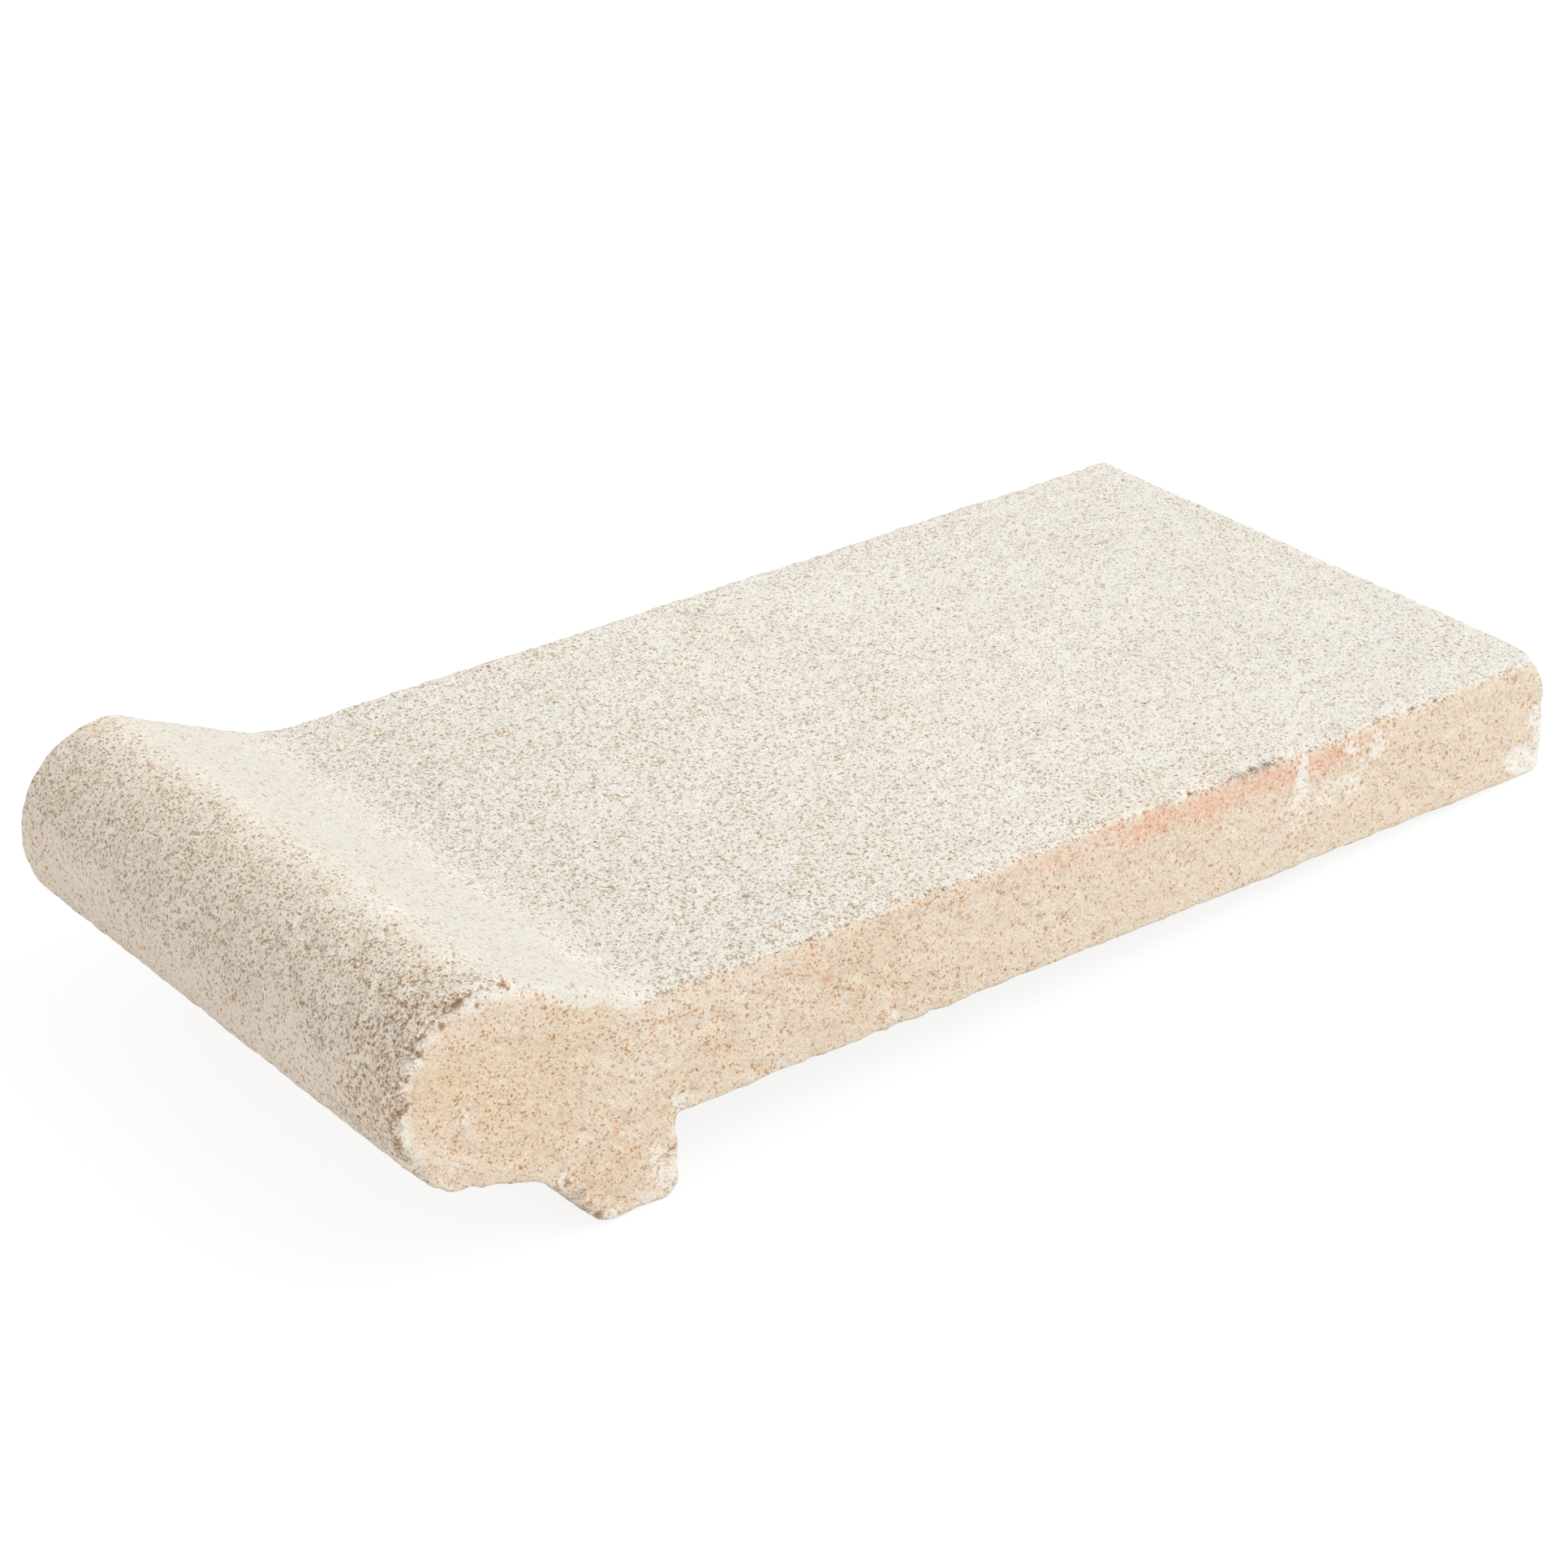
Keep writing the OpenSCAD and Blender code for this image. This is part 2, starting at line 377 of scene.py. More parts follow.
PINK_NEAR = [
    (234, -5, 5, 0.5), (250.3, -4.9, 4, 0.5), (218.7, -3.4, 5, 0.6), (204.8, -4, 6, 0.8),
    (199, -4.5, 5, 0.6), (183.5, -3.6, 6, 0.8), (172.3, -2.2, 5, 0.5), (158.7, -0.5, 4, 0.4),
    (96.4, -8.3, 5, 0.45), (86.8, -10.2, 4, 0.45), (118, -9.2, 5, 0.5), (126, -9.2, 5, 0.5),
    (96.4, -3.1, 5, 0.5), (70.2, -20.7, 3, 0.3), (267.1, -23.9, 6, 0.3), (263, -25.8, 4, 0.3),
    (150, -6, 8, 0.3)]
PINK = [(20.8, 71.5, 16, 4.5, 0.3), (19.2, 48, 15.9, 1.6, 0.5), (294, -6, 0, 1.3, 0.9)]
RED_NEAR = [
    (100.8, -10.2, 0.9, 0.7), (118.3, -9.3, 0.8, 0.6), (121.7, -3.1, 0.8, 0.6),
    (73, -16.7, 0.9, 0.9), (48.9, -25.7, 0.9, 0.9), (96, -8, 0.9, 0.5)]
ORANGE_NEAR = [
    (8.3, -4.6, 8, 0.9), (24.8, -16.3, 9, 0.7), (41.5, -34.4, 8, 0.6), (50.1, -34.3, 5, 0.5),
    (14, 1, 8, 0.5), (39, -23.6, 1.5, 1), (30, -4, 12, 0.4)]
CHALK_NEAR = [
    (241, -3.5, 3, 0.8), (249.4, -5.6, 3.5, 0.8), (242.1, -13, 5, 0.5), (225.4, -12.9, 5, 0.5),
    (234.3, -12.1, 4, 0.5), (228.1, -2.6, 1.4, 1), (227.9, -5, 1.4, 1), (227.6, -7.3, 1.3, 0.9),
    (227.4, -9.6, 1.2, 0.7), (15.5, -10.2, 2.6, 0.6), (12.2, -22, 3.5, 0.35), (36.6, -32, 3, 0.5),
    (64.2, -24.3, 2.0, 0.9), (116.8, -25.2, 2.5, 0.5), (78.7, -7.3, 3, 0.5), (58.5, -37, 3.5, 0.35),
    (59.5, -42, 3.5, 0.4), (57.5, -34, 1.8, 0.6), (46.5, -44.4, 2.0, 0.9), (53, -44.6, 1.6, 0.6),
    (294.8, -23.4, 4.5, 1), (290.6, -22.8, 3, 0.7), (298, -24, 4, 0.8), (299.5, -12, 3, 0.8),
    (299.5, -17.5, 3, 0.8), (6, 10, 3, 0.5), (27, 5, 4, 0.3), (207, -12, 3, 0.4),
    (190, -9, 3, 0.4)]
CHALK = [
    (281, -21.7, 0, 3.0, 0.7), (281, -26.5, 0, 3.0, 0.9), (282, -31.5, 0, 2.6, 0.8),
    (281, -36.5, 0, 3.0, 0.7), (23.9, -38, 16.0, 5, 0.6), (294, 73, 0, 3, 0.6),
    (284, 74, 0, 3, 0.6), (274, 75, 0, 2.5, 0.5), (264, 75.5, 0, 2.2, 0.4)]
GREY = [
    (206, -75, 0, 2.4, 0.35), (210, -75.6, 0, 2.0, 0.6), (214, -76, 0, 1.6, 1.0),
    (217.5, -76.2, 0, 1.5, 1.2), (221, -76.4, 0, 1.3, 0.7), (22.3, -72.5, 16.1, 5, 0.35),
    (39.7, -76.5, -36.9, 1.3, 0.8), (3.0, -58, -13, 5, 0.3)]
DIRT_NEAR = [  # brown clumps along the crumbled edge of the nose and the lug
    (16.6, 14.3, 2.2, 1.0), (14.0, 12.0, 1.3, 0.35), (26.8, 14.6, 2.2, 0.9),
    (23.0, 14.4, 1.3, 0.4), (12.0, 10.4, 1.4, 0.45), (6.9, 6.6, 1.7, 0.8), (4.6, 3.6, 1.6, 0.7),
    (3.2, -0.4, 1.5, 0.7), (1.6, -4.4, 1.9, 0.9), (1.0, -8.2, 1.6, 0.7), (1.6, -12.0, 1.6, 0.6),
    (36.5, -33.4, 1.8, 0.7), (41.5, -40.5, 1.6, 0.7), (44.0, -44.0, 1.8, 0.9),
    (61.5, -42.5, 1.8, 0.8), (62.0, -35.0, 1.4, 0.7)]

# ---------------------------------------------------------------- stains, and painted shade on the nose
hole = spots(HOLES_NEAR, -HALF) + spots(HOLES)
# Brown clumps of dirt, plus painted shade: the wide term on the roll darkens the nose towards its near
# end
dirt_and_painted_shade = spots(DIRT_NEAR, -HALF) + 0.50 * roll * near * bell(past_edge, 26)
pink = 0.5 * spots(PINK_NEAR, -HALF) + spots(PINK)
pink_band = step(*PINK_FROM, X) * (1 - step(*PINK_TO, X)) * bell(Z - PINK_Z, 3.8)
pink += 0.85 * side * near * pink_band * step(-1.8, 0.4, coarse)
red = spots(RED_NEAR, -HALF)
orange = spots(ORANGE_NEAR, -HALF)
chalk = spots(CHALK_NEAR, -HALF) + spots(CHALK)
grey = spots(GREY)

# The hidden far side has marks of the same kinds, at places of its own
far_face = np.where(Y > 0, side, 0)
pink += far_face * 0.6 * step(0.55, 1.0, noise(14, 31)) * step(-12, -2, Z)
orange += far_face * 0.6 * step(0.2, 0.9, noise(20, 32)) * (1 - step(40, 90, X))
chalk += far_face * 0.45 * step(0.5, 1.0, noise(5, 33))

# The hidden back has chalky patches, and the underside and the lug some of the side's body colour
hidden = on_long * (1 - step(-0.4, 0.2, out_z)) * (1 - 0.6 * roll)
chalk += hidden * 0.5 * step(0.35, 0.9, noise(16, 34))
under = on_long * (out_z < 0.3) * step(LUG_X - 22, LUG_X - 6, X)
under *= 1 - step(-0.5, 0.3, out_z - 0.5 * (X > 200))
side = np.maximum(side, under * (0.6 + 0.2 * coarse))

# ---------------------------------------------------------------- relief, in mm outwards
EDGE_WEAR, FAR_WEAR = 0.7, 0.6  # most that a side edge loses, and the far edge's share of it
RIM_WIDTH = 2.1
LONG_WAVES, SHORT_WAVES = 0.16, 0.10
ROUGH, GRAIN = (0.30, 0.24), (0.13, 0.11)  # height, and how much less it is in the cove
DENTS, LUMPS = 0.45, 0.45  # dents of the flat faces, crumbs on the rim of the nose
CHIP_DEPTH, BACK_CHIP_DEPTH, TOE_CHIP_DEPTH = 0.6, 0.5, 0.7


def wear_of_edges():
    """What the side edges lose: most on the near edge over the nose, least at the back."""
    wear_at = 0.24 + 0.25 * (X < 66) * (Z < -8) + 0.40 * step(-8, -3, Z)
    wear_at = wear_at + 1.1 * near * step(3, 12, Z) + 0.6 * near * (X < 25)
    wear = rim * crumble * wear_at * EDGE_WEAR * (1 - 0.8 * step(290, 296, X))
    return wear * np.where(near, 1, FAR_WEAR)


def chips():
    """Chips out of the bottom edge of the near side, of the back and of the toe of the lug."""
    near_side = [(x, -SLAB, 0.6 * width, CHIP_DEPTH) for x, width in CHIPS]
    back = [(DEPTH, y, -SLAB, 2.0, BACK_CHIP_DEPTH) for y in BACK_CHIPS_Y]
    toe = [(LUG_X - LUG_FOOT, y, -SLAB - LUG_DROP, 2.5, TOE_CHIP_DEPTH) for y in TOE_CHIPS_Y]
    return spots(near_side, -HALF), spots(back) + spots(toe)


rim = bell(past_edge, RIM_WIDTH)
crumble = np.clip(0.45 + 0.35 * noise(5.5, 41) + 0.55 * ragged + 0.45 * noise(1.7, 46), -0.25, 1.8)
rough = (ROUGH[0] - ROUGH[1] * cove) * 0.5 * ragged * (1 - 0.6 * step(294, 299, X))
grain = (GRAIN[0] - GRAIN[1] * cove) * noise(1.5, 44)
relief = LONG_WAVES * noise(34, 42) + SHORT_WAVES * noise(13, 43)
relief += rough + grain
relief -= DENTS * (1 - cove) * (1 - 0.7 * rim) * step(0.45, 1.0, noise(3.0, 45))
relief += LUMPS * near * nose_arc * bell(past_edge - 1.2, 1.6) * np.maximum(noise(1.9, 47) - 0.1, 0)
relief -= wear_of_edges()
near_chips, long_chips = chips()
relief -= near_chips
relief -= hole
relief -= long_chips
worn = vert + norm * relief[:, None]

# The near top corner at the back is broken off: where the plane cuts the three edges, how softly
# it meets them, and how far from the corner it reaches
CORNER_CUT = np.array([5.5, 6.5, 5.5])
SOFT, CORNER_REACH = 1.9, 14
cut_n = unit(np.array([1, -1, 1]) / CORNER_CUT)
cut_at = cut_n @ np.array([DEPTH - CORNER_CUT[0], -HALF, 0.0])
over = worn @ cut_n - cut_at + 0.35 * coarse
taken = np.where(over > SOFT, over, np.where(over > -SOFT, (over + SOFT) ** 2 / (4 * SOFT), 0))
at_corner = np.linalg.norm(vert - [DEPTH, -HALF, 0], axis=1) < CORNER_REACH
worn -= np.where(at_corner, taken, 0)[:, None] * cut_n

# ---------------------------------------------------------------- what the material reads
# How pitted the surface is, from 0 to 1, how coarse its pits are, and its brown and cream edges
pits = 0.5 + 0.1 * coarse
pits += field * (0.02 + 0.10 * step(60, 150, X) - 0.20 * step(170, 290, X))
pits -= side * (0.06 + 0.18 * step(70, 200, X))
pits += roll * 0.25 - 0.42 * front_low
pits = pits * (1 - 0.80 * cove * (1 - 0.7 * roll))
pits += 0.7 * near * nose_arc * bell(past_edge + 0.4, 1.5) * step(-0.7, 0.3, noise(3, 52))
edge_line = bell(past_edge - 0.8 * skin, 1.2) * above * near * step(-0.8, 0.3, noise(4, 51))
pits += 0.8 * edge_line * (1 - cove)
dirt_and_painted_shade += 0.5 * edge_line * step(60, 75, X) * (1 - step(285, 295, X)) * step(-0.1, 0.7, noise(2.2, 54))
cream = near * nose_arc * bell(past_edge - 2.4 - 0.8 * coarse, 1.5) * step(-0.9, 0.2, ragged)
cream += 0.6 * near * (Z < -24) * rim * step(0.1, 1.2, crumble)
lug_edge = near * step(52, 58, X) * (1 - step(64, 67, X)) * (1 - step(-31, -28, Z))
lug_edge = lug_edge * bell(past_edge - 1.5, 2.2)
cream += 0.9 * lug_edge * step(-0.6, 0.4, ragged)
pits += 0.5 * lug_edge * step(-0.2, 0.6, noise(3, 53))
pits -= 0.25 * cream
coarse_pits = np.clip(field * (1 - step(*COARSE_TO, X)) + 0.5 * roll, 0, 1)

FIELDS = {
    "side": side, "cove": cove, "roll": roll, "front_low": front_low,
    "far_end": step(*FAR_END, X + 20 * coarse),
    "pits": pits, "coarse_pits": coarse_pits, "lumps": coarse_pits - roll, "hole": hole,
    "pink": pink, "red": red, "orange": orange, "chalk": chalk, "grey": grey, "dirt_and_painted_shade": dirt_and_painted_shade,
    "cream": cream, "browned": roll + edge_line}


def stone_object():
    """The worn stone on the floor, with its fields as attributes."""
    row = to_row(worn)
    row[:, 2] = np.maximum(row[:, 2], 0.0)
    mesh = bpy.data.meshes.new("stone")
    mesh.from_pydata(row.tolist(), [], faces)
    mesh.validate()
    mesh.shade_smooth()
    for name, values in FIELDS.items():
        attribute = mesh.attributes.new(name, "FLOAT", "POINT")
        attribute.data.foreach_set("value", np.clip(values, 0, 1).astype(np.float32))
    return bpy.data.objects.new("coping_stone_worn", mesh)


stone = stone_object()
bpy.context.scene.collection.objects.link(stone)
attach(stone, "root")
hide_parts("coping_stone")

# ---------------------------------------------------------------- material
# Noises from the broadest to the finest: features per mm, detail, roughness, distortion and shift
NOISES = {
    "cloud": (0.035, 3, 0.55, 0.0, 1),
    "mottle": (0.13, 3, 0.6, 0.0, 2),
    "flecks": (0.55, 3, 0.65, 0.0, 3),
    "wide_holes": (0.85, 2, 0.6, 0.3, 6),
    "specks": (1.1, 2, 0.6, 0.0, 7),
    "fine_holes": (1.5, 1.5, 0.5, 0.15, 5),
    "grain": (2.2, 2, 0.6, 0.0, 4),
}
BUBBLE_R = (0.18, 0.45)  # smallest and largest pit radius, in spacings of the pits
FINE_PITS, WIDE_PITS = 1.3, 0.95  # pits per mm
ROUGHNESS, SPECULAR = 0.92, 0.25
BUMP_STRENGTH, BUMP_MM = 0.8, 1.0

TONES = {  # screen values
    "top": (253, 250, 241), "top_clouded": (251, 247, 235), "cove": (228, 225, 215),
    # front_low is partly painted light: lighter for the light bounced up from the floor onto the lower
    # front of the nose
    "roll": (243, 235, 220), "roll_mottled": (238, 226, 207), "front_low": (254, 239, 221),
    "side": (236, 223, 205), "side_clouded": (232, 215, 192), "side_mottled": (242, 231, 214),
    "side_far": (244, 229, 209), "side_specks": (236, 204, 169), "side_orange": (231, 203, 171),
    # white_grains_and_highlights is partly painted highlight on the raised grains
    "cream": (247, 242, 230), "red": (214, 128, 98), "white_grains_and_highlights": (252, 251, 247)}
STAINS = {  # screen values, how much the specks break it up, where it begins and where it is full
    "pink": ((241, 197, 171), 3.0, 0.15, 1.15),
    "chalk": ((248, 244, 234), -1.8, 0.25, 0.75),
    "grey": ((150, 146, 138), 1.2, 0.0, 1.1),
    # the dirt colour also carries the painted shade at the near end of the nose
    "dirt_and_painted_shade": ((188, 156, 120), 4.0, 0.2, 1.05)}
TINTS = {  # linear colours that the tone is multiplied by
    "dulled": (0.918, 0.926, 0.93, 1), "warm_flecks": (0.97, 0.925, 0.86, 1),
    # pits, browned_pits, side_pits and holes are painted shade in the pits and holes;
    # tan_grains_and_shade is partly painted shade between the grains
    "tan_grains_and_shade": (0.90, 0.71, 0.52, 1), "pits": (0.70, 0.50, 0.31, 1),
    "browned_pits": (0.64, 0.46, 0.30, 1), "side_pits": (0.86, 0.50, 0.23, 1),
    "holes": (0.44, 0.30, 0.20, 1)}


def srgb(r, g, b):
    """Linear colour from 0-255 screen values."""
    return tuple(((c / 255 + 0.055) / 1.055) ** 2.4 for c in (r, g, b)) + (1.0,)


class Tree:
    """Short calls that build one material's nodes."""

    def __init__(self, name):
        self.material = bpy.data.materials.new(name)
        self.material.use_nodes = True
        self.tree = self.material.node_tree
        self.shader = self.tree.nodes["Principled BSDF"]

    def put(self, value, socket):
        if isinstance(value, bpy.types.NodeSocket):
            self.tree.links.new(value, socket)
        else:
            socket.default_value = value

    def math(self, op, *values, clamp=False):
        node = self.tree.nodes.new("ShaderNodeMath")
        node.operation, node.use_clamp = op, clamp
        for value, socket in zip(values, node.inputs):
            self.put(value, socket)
        return node.outputs[0]

    def times(self, a, b):
        return self.math("MULTIPLY", a, b)

    def scaled(self, value, factor, plus):
        """The value times a factor, plus a number."""
        return self.math("MULTIPLY_ADD", value, factor, plus)

    def field(self, name):
        node = self.tree.nodes.new("ShaderNodeAttribute")
        node.attribute_name = name
        return node.outputs["Fac"]

    def with_field(self, value, name, amount):
        """The value plus an amount of a field."""
        return self.math("ADD", value, self.times(self.field(name), amount))

    def mm(self):
        """Object coordinates in mm."""
        place = self.tree.nodes.new("ShaderNodeTexCoord").outputs["Object"]
        node = self.tree.nodes.new("ShaderNodeVectorMath")
        node.operation = "SCALE"
        self.put(place, node.inputs[0])
        node.inputs["Scale"].default_value = 1 / MM
        return node.outputs[0]

    def noise(self, place, per_mm, detail, roughness, distortion, shift):
        node = self.tree.nodes.new("ShaderNodeTexNoise")
        node.noise_dimensions = "4D"
        self.put(place, node.inputs["Vector"])
        for key, value in {"W": shift, "Scale": per_mm, "Detail": detail, "Roughness": roughness,
                           "Distortion": distortion}.items():
            node.inputs[key].default_value = value
        return node.outputs["Fac"]

    def range(self, value, lo, hi, to_lo=0.0, to_hi=1.0):
        node = self.tree.nodes.new("ShaderNodeMapRange")
        node.interpolation_type = "SMOOTHSTEP"
        for v, socket in zip((value, lo, hi, to_lo, to_hi), node.inputs):
            self.put(v, socket)
        return node.outputs[0]

    def mix(self, factor, a, b, blend="MIX"):
        node = self.tree.nodes.new("ShaderNodeMix")
        node.data_type, node.blend_type = "RGBA", blend
        self.put(factor, node.inputs["Factor"])
        self.put(a, node.inputs["A"])
        self.put(b, node.inputs["B"])
        return node.outputs["Result"]

    def tone(self, factor, tone, name):
        """The tone, mixed towards a named one."""
        return self.mix(factor, tone, srgb(*TONES[name]))

    def tint(self, factor, tone, name):
        """The tone, multiplied by a named tint."""
        return self.mix(factor, tone, TINTS[name], "MULTIPLY")

    def bubbles(self, place, per_mm, amount, rough):
        """Round pits where the surface cuts through scattered bubbles: 1 in a pit, for a share of
        them set by amount."""
        node = self.tree.nodes.new("ShaderNodeTexVoronoi")
        self.put(place, node.inputs["Vector"])
        node.inputs["Scale"].default_value = per_mm
        chance = self.tree.nodes.new("ShaderNodeSeparateColor")
        self.put(node.outputs["Color"], chance.inputs[0])
        radius = self.range(chance.outputs[0], 0.0, 1.0, *BUBBLE_R)
        there = self.range(self.math("SUBTRACT", chance.outputs[1], amount), -0.06, 0.06, 1.0, 0.0)
        depth = self.math("ADD", node.outputs["Distance"], rough)
        return self.range(self.math("SUBTRACT", self.times(radius, there), depth), -0.04, 0.10)

    def patches(self, name, speckle, broken, lo, hi):
        """A stain's field turned into patches that the speckle breaks up."""
        shift = self.times(self.math("SUBTRACT", speckle, 0.5), broken)
        return self.range(self.math("ADD", self.field(name), shift), lo, hi)


def pitting(t, mm, noises):
    """1 in a pit, 1 in one of the named holes, and the noise that the surface's relief follows."""
    rough = t.scaled(noises["grain"], 0.5, -0.25)
    some = t.field("pits")
    wide = t.bubbles(mm, WIDE_PITS, t.times(some, t.field("coarse_pits")), rough)
    pit = t.math("MAXIMUM", wide, t.bubbles(mm, FINE_PITS, some, rough))
    # Cracks between the grains: where a noise falls below a level that the field of pits sets
    uneven = t.mix(t.field("coarse_pits"), noises["fine_holes"], noises["wide_holes"])
    uneven = t.math("ADD", uneven, t.scaled(noises["grain"], 0.4, -0.2))
    level = t.scaled(some, 0.17, 0.325)
    crack = t.math("MULTIPLY", t.math("SUBTRACT", level, uneven), 7, clamp=True)
    pit = t.math("MAXIMUM", pit, t.times(crack, t.scaled(t.field("roll"), 0.30, 0.26)))
    pit = t.times(pit, t.with_field(1.0, "chalk", -0.7))
    hole_shade = t.range(t.math("ADD", t.field("hole"), t.times(rough, 1.4)), 0.25, 0.60)
    return pit, hole_shade, uneven


def zone_tones(t, noises):
    """Tone of the top, the cove, the roll of the nose and the side faces."""
    cloud, mottle = noises["cloud"], noises["mottle"]
    tone = t.tone(t.range(cloud, 0.35, 0.65), srgb(*TONES["top"]), "top_clouded")
    tone = t.tone(t.field("cove"), tone, "cove")
    roll = t.tone(t.range(mottle, 0.35, 0.65), srgb(*TONES["roll"]), "roll_mottled")
    roll = t.tone(t.field("front_low"), roll, "front_low")
    tone = t.mix(t.field("roll"), tone, roll)
    side = t.tone(t.range(cloud, 0.38, 0.62), srgb(*TONES["side"]), "side_clouded")
    side = t.tone(t.range(mottle, 0.45, 0.70, 0.0, 0.6), side, "side_mottled")
    side = t.tone(t.field("far_end"), side, "side_far")
    side = t.tone(t.range(noises["specks"], 0.48, 0.64, 0.0, 0.45), side, "side_specks")
    side = t.tone(t.times(t.field("orange"), 0.55), side, "side_orange")
    tone = t.mix(t.field("side"), tone, side)
    tone = t.tint(t.times(t.field("far_end"), t.with_field(1.0, "side", -0.35)), tone, "dulled")
    warm = t.times(t.range(noises["flecks"], 0.30, 0.50, 1.0, 0.0), t.with_field(0.45, "side", 0.35))
    return t.tint(warm, tone, "warm_flecks")


def stained(t, tone, noises):
    """The tone with its stains and chalk, broken up by the grain."""
    for name, (colour, broken, lo, hi) in STAINS.items():
        tone = t.mix(t.patches(name, noises["specks"], broken, lo, hi), tone, srgb(*colour))
    broken = t.scaled(t.range(noises["flecks"], 0.38, 0.60), 0.5, 0.5)
    tone = t.tone(t.times(t.field("cream"), broken), tone, "cream")
    return t.tone(t.times(t.field("red"), 0.7), tone, "red")


def grained(t, tone, noises, pit, hole_shade):
    """The tone with its pale and tan grains, which are partly painted highlight and shade, then the
    painted shade of its pits and holes.
    """
    grain = noises["grain"]
    white = t.with_field(t.with_field(0.72, "side", -0.4), "lumps", 0.22)
    white = t.with_field(white, "cove", -0.35)
    # White on the raised grains and tan in the low places between them: partly the grains' own colour,
    # partly painted highlight and painted shade
    tone = t.tone(t.times(t.range(grain, 0.52, 0.64), white), tone, "white_grains_and_highlights")
    tone = t.tint(t.range(grain, 0.34, 0.50, 0.40, 0.0), tone, "tan_grains_and_shade")
    # Painted shade in the pits and holes: the pits are multiplied by a brown that is browner on the
    # roll and the near edge and warmer on the side faces, and the holes are darker still
    pit_shade_tint = t.mix(t.field("browned"), TINTS["pits"], TINTS["browned_pits"])
    pit_shade_tint = t.mix(t.field("side"), pit_shade_tint, TINTS["side_pits"])
    tone = t.mix(t.times(pit, 0.9), tone, pit_shade_tint, "MULTIPLY")
    return t.tint(t.times(hole_shade, 0.85), tone, "holes")


def add_bump(t, noises, pit, uneven):
    """Relief under a millimetre: grains, pits and an unevenness that is calmer in the cove."""
    calm = t.with_field(t.with_field(1.0, "cove", -0.75), "side", -0.3)
    rise = t.scaled(t.field("coarse_pits"), 1.1, 0.55)
    height = t.math("SUBTRACT", t.times(t.times(noises["grain"], 0.36), calm), t.times(pit, 0.24))
    height = t.math("ADD", height, t.times(t.times(uneven, rise), calm))
    bump = t.tree.nodes.new("ShaderNodeBump")
    bump.inputs["Strength"].default_value = BUMP_STRENGTH
    bump.inputs["Distance"].default_value = BUMP_MM * MM
    t.put(height, bump.inputs["Height"])
    t.put(bump.outputs[0], t.shader.inputs["Normal"])


def cast_stone():
    t = Tree("cast_stone")
    mm = t.mm()
    noises = {name: t.noise(mm, *values) for name, values in NOISES.items()}
    pit, hole_shade, uneven = pitting(t, mm, noises)
    tone = grained(t, stained(t, zone_tones(t, noises), noises), noises, pit, hole_shade)
    t.put(tone, t.shader.inputs["Base Color"])
    t.shader.inputs["Roughness"].default_value = ROUGHNESS
    t.shader.inputs["Specular IOR Level"].default_value = SPECULAR
    add_bump(t, noises, pit, uneven)
    return t.material


stone.data.materials.append(cast_stone())

# ---------------------------------------------------------------- studio
SENSOR_MM, LENS_MM = 36.0, 98.502
CAMERA_AT = (-0.45170, -0.68499, 0.48016)  # metres
CAMERA_TURN = (60.9368, 5.5198, -36.1799)  # degrees
SUN, SUN_WIDTH, SUN_FROM = 1.26, 50, (0.46, -0.58, 0.70)
SKY = 0.78  # where it lights the stone; the camera sees 1
FLOOR_SIZE, FLOOR_GREY = 6, 0.8  # metres, and the colour that takes the shadow
FLOOR_WHITE, WHITE_SHARE = 1.1, 0.78  # the floor's own white, and its share of what is seen

scene = bpy.context.scene


def add_camera():
    data = bpy.data.cameras.new("camera")
    data.sensor_width, data.lens = SENSOR_MM, LENS_MM
    camera = bpy.data.objects.new("camera", data)
    camera.location = CAMERA_AT
    camera.rotation_euler = [math.radians(a) for a in CAMERA_TURN]
    scene.collection.objects.link(camera)
    scene.camera = camera


def add_sun():
    data = bpy.data.lights.new("key", "SUN")
    data.energy, data.angle = SUN, math.radians(SUN_WIDTH)
    sun = bpy.data.objects.new("key", data)
    sun.rotation_euler = Vector(SUN_FROM).to_track_quat("Z", "Y").to_euler()
    scene.collection.objects.link(sun)


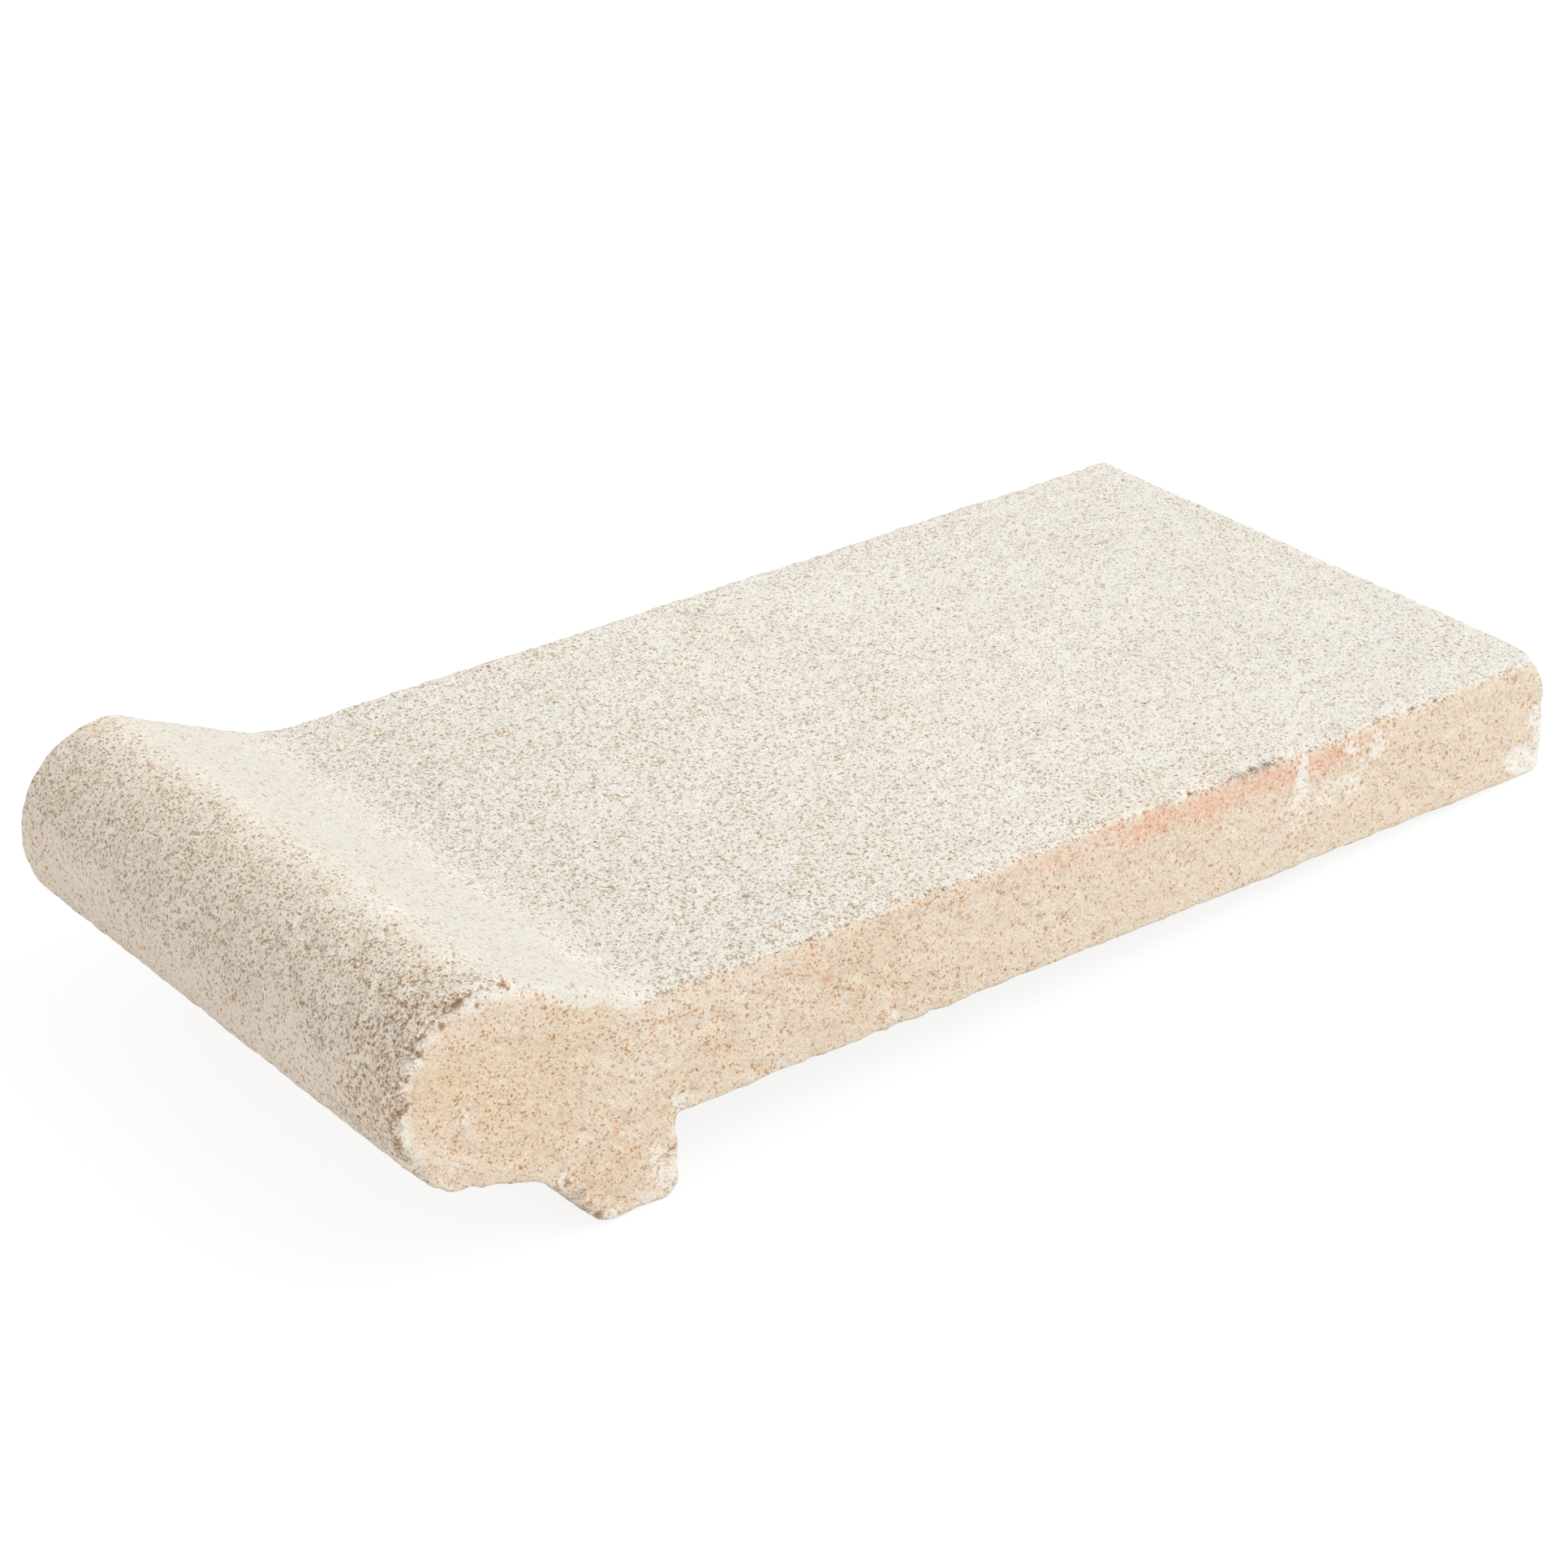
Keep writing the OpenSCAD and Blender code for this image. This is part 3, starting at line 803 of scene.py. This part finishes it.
def seen_straight(nodes, links):
    """1 for camera, glossy and transmission rays, 0 for the light that falls on the stone."""
    rays = nodes.new("ShaderNodeLightPath")
    total = rays.outputs["Is Camera Ray"]
    for name in ("Is Glossy Ray", "Is Transmission Ray"):
        add = nodes.new("ShaderNodeMath")
        add.operation, add.use_clamp = "ADD", True
        links.new(total, add.inputs[0])
        links.new(rays.outputs[name], add.inputs[1])
        total = add.outputs[0]
    return total


def white_floor():
    """A pale floor that the camera sees as white, with a faint shadow of the stone."""
    mat = bpy.data.materials.new("floor")
    mat.use_nodes = True
    nodes, links = mat.node_tree.nodes, mat.node_tree.links
    plain = nodes["Principled BSDF"]
    plain.inputs["Base Color"].default_value = (FLOOR_GREY, FLOOR_GREY, FLOOR_GREY, 1)
    plain.inputs["Roughness"].default_value = 1
    plain.inputs["Specular IOR Level"].default_value = 0
    white = nodes.new("ShaderNodeEmission")
    white.inputs["Strength"].default_value = FLOOR_WHITE
    share = nodes.new("ShaderNodeMath")
    share.operation = "MULTIPLY"
    links.new(seen_straight(nodes, links), share.inputs[0])
    share.inputs[1].default_value = WHITE_SHARE
    mix = nodes.new("ShaderNodeMixShader")
    links.new(share.outputs[0], mix.inputs[0])
    links.new(plain.outputs[0], mix.inputs[1])
    links.new(white.outputs[0], mix.inputs[2])
    links.new(mix.outputs[0], nodes["Material Output"].inputs[0])
    return mat


def add_sky():
    world = bpy.data.worlds.new("world")
    scene.world = world
    world.use_nodes = True
    nodes, links = world.node_tree.nodes, world.node_tree.links
    light = nodes.new("ShaderNodeMapRange")
    light.inputs["To Min"].default_value = SKY
    light.inputs["To Max"].default_value = 1.0
    links.new(seen_straight(nodes, links), light.inputs["Value"])
    nodes["Background"].inputs["Color"].default_value = (1, 1, 1, 1)
    links.new(light.outputs[0], nodes["Background"].inputs["Strength"])


add_camera()
add_sun()
bpy.ops.mesh.primitive_plane_add(size=FLOOR_SIZE, location=(0, 0, 0))
floor = bpy.context.object
floor.name = "floor"
floor.data.materials.append(white_floor())
add_sky()

scene.view_settings.view_transform = "Standard"
